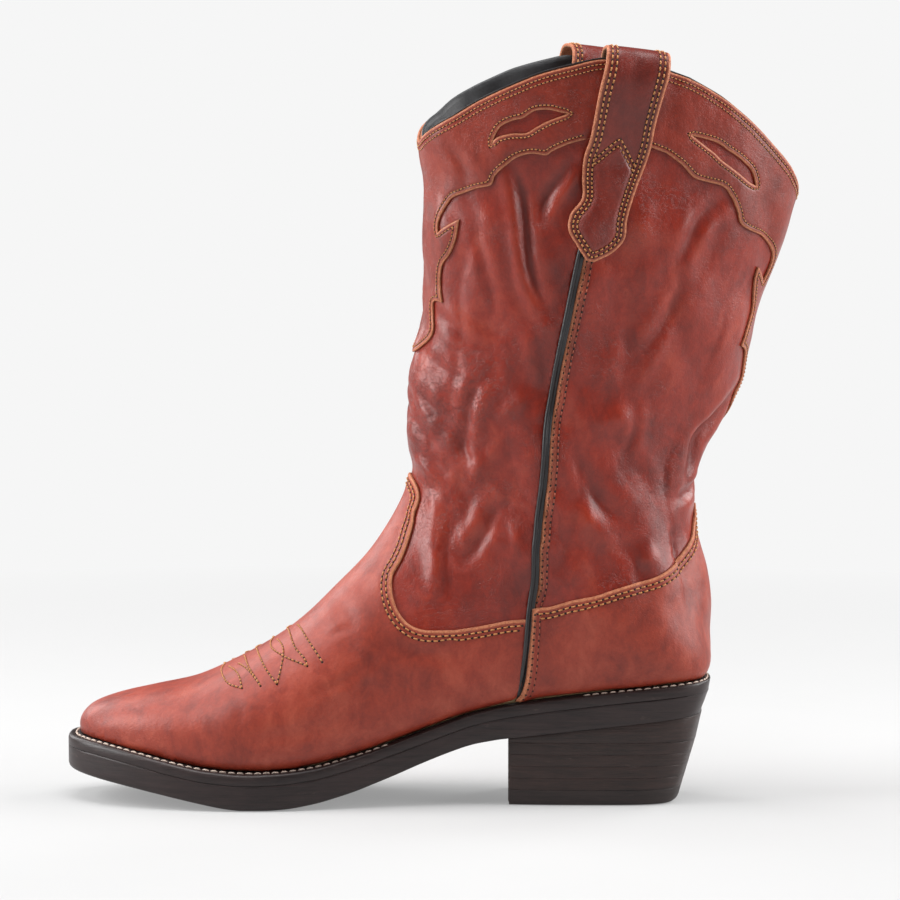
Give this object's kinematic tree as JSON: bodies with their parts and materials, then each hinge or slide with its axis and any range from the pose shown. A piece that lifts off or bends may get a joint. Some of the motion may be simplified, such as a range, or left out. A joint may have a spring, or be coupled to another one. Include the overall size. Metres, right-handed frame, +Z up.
{
  "type": "cowboy boot",
  "caption": "Pull-on leather boot for the left foot, with a scalloped shaft, side pull loops, stitched collar overlays, a welted sole and an undercut stacked heel.",
  "frame": {"origin": "middle of the footprint's box, on the floor", "axes": "+Z up, toe towards -X, heel towards +X, the outer side of the foot towards -Y"},
  "size_m": [0.3318, 0.104, 0.3418],
  "materials": {
    "upper": "semi-gloss cognac, pulled up and creased",
    "overlay": "semi-gloss cognac",
    "strap": "semi-gloss cognac",
    "piping": "smooth black",
    "lining": "matt black",
    "board": "fibre board, matt",
    "sock": "matt",
    "steel": "brushed",
    "cork": "matt, granular",
    "welt": "dark brown, waxed edge",
    "sole": "dark brown, waxed edge",
    "lift": "dark brown stacked leather, waxed",
    "cap": "satin",
    "thread": "golden brown",
    "welt_thread": "off white",
    "raw_edge": "undyed cut edge, matt",
    "nail": "dull"
  },
  "bodies": {
    "root": {"vamp": "upper", "heel_counter_cover": "upper", "front_shaft_panel": "upper", "back_shaft_panel": "upper", "front_collar_overlay": "overlay", "back_collar_overlay": "overlay", "side_piping_outer": "piping", "side_piping_inner": "piping", "pull_strap_outer": "strap", "pull_strap_inner": "strap", "front_shaft_lining": "lining", "back_shaft_lining": "lining", "vamp_lining": "lining", "toe_puff": "board", "counter_stiffener": "board", "insole_board": "board", "sock_liner": "sock", "steel_shank": "steel", "shank_rivets": "steel", "cork_filler": "cork", "welt": "welt", "outsole": "sole", "heel_wedge": "lift", "heel_lift_1": "lift", "heel_lift_2": "lift", "heel_lift_3": "lift", "heel_lift_4": "lift", "heel_cap": "cap", "heel_nails": "nail", "heel_cap_pins": "nail"}
  },
  "joints": []
}
